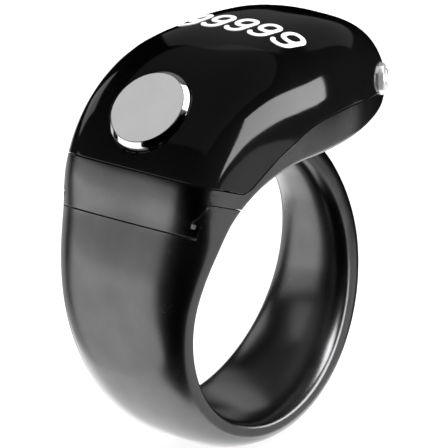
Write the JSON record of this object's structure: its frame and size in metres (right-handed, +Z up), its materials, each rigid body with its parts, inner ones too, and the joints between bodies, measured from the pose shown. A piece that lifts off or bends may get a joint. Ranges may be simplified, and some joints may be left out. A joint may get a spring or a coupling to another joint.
{
  "type": "finger ring tally counter",
  "caption": "Finger-ring tally counter with a domed display head, round count button, small reset button and a hinged band that latches at the side.",
  "frame": {"origin": "centre of the finger hole", "axes": "finger along Y, +Z up through the display, count button on the -X slope, reset button towards +X and -Y"},
  "size_m": [0.0302, 0.0156, 0.0323],
  "materials": {
    "cover_gloss": "polished black display window",
    "housing_metal": "satin gunmetal",
    "band_metal": "satin gunmetal",
    "pin_steel": "ground steel",
    "button_silver": "satin face with a polished chamfer",
    "black_plastic": "moulded black",
    "silicone": "soft moulded sleeve",
    "bright_steel": "bright steel",
    "board": "circuit board laminate",
    "bezel_chrome": "polished ring",
    "cell_steel": "nickel-plated can",
    "ceramic": "fired ceramic chip",
    "polyimide": "amber film",
    "digit_white": "lit white digit"
  },
  "bodies": {
    "head": {"top_cover": "cover_gloss", "lower_housing": "housing_metal", "hinge_pin": "pin_steel", "count_switch_dome": "bright_steel", "count_switch_body": "black_plastic", "count_switch_board": "board", "reset_button_bezel": "bezel_chrome", "reset_switch_dome": "bright_steel", "reset_switch_body": "black_plastic", "circuit_board": "board", "microcontroller": "black_plastic", "timing_crystal": "cell_steel", "capacitor_1": "ceramic", "capacitor_2": "ceramic", "board_screw_1": "bright_steel", "board_screw_2": "bright_steel", "battery_cell": "cell_steel", "battery_contact": "bright_steel", "battery_insulator": "polyimide", "display_frame": "black_plastic", "display_panel": "black_plastic", "display_flex": "polyimide", "digit_1": "digit_white", "digit_2": "digit_white", "digit_3": "digit_white", "digit_4": "digit_white", "digit_5": "digit_white"},
    "band": {"band": "band_metal", "band_latch_hook": "band_metal"},
    "count_button": {"count_button_cap": "button_silver", "count_button_plunger": "black_plastic", "count_button_spring": "silicone"},
    "reset_button": {"reset_button_cap": "bezel_chrome", "reset_button_stem": "black_plastic", "reset_button_spring": "silicone"}
  },
  "joints": [
    {"name": "band_hinge", "type": "hinge", "parent": "head", "child": "band", "pos_m": [0.0074, 0, 0.01135], "axis": [0, -1, 0], "range_deg": [0, 30], "deforming": ["band_latch_hook"]},
    {"name": "count_button_press", "type": "slide", "parent": "head", "child": "count_button", "axis": [0.6947, 0, -0.7193], "range_m": [0, 0.00045], "stiffness_N_per_m": 1500, "springref_m": -0.0004, "deforming": ["count_button_spring", "count_switch_dome"]},
    {"name": "reset_button_press", "type": "slide", "parent": "head", "child": "reset_button", "axis": [-0.6428, 0.766, 0], "range_m": [0, 0.0003], "stiffness_N_per_m": 1500, "springref_m": -0.0004, "deforming": ["reset_button_spring", "reset_switch_dome"]}
  ]
}
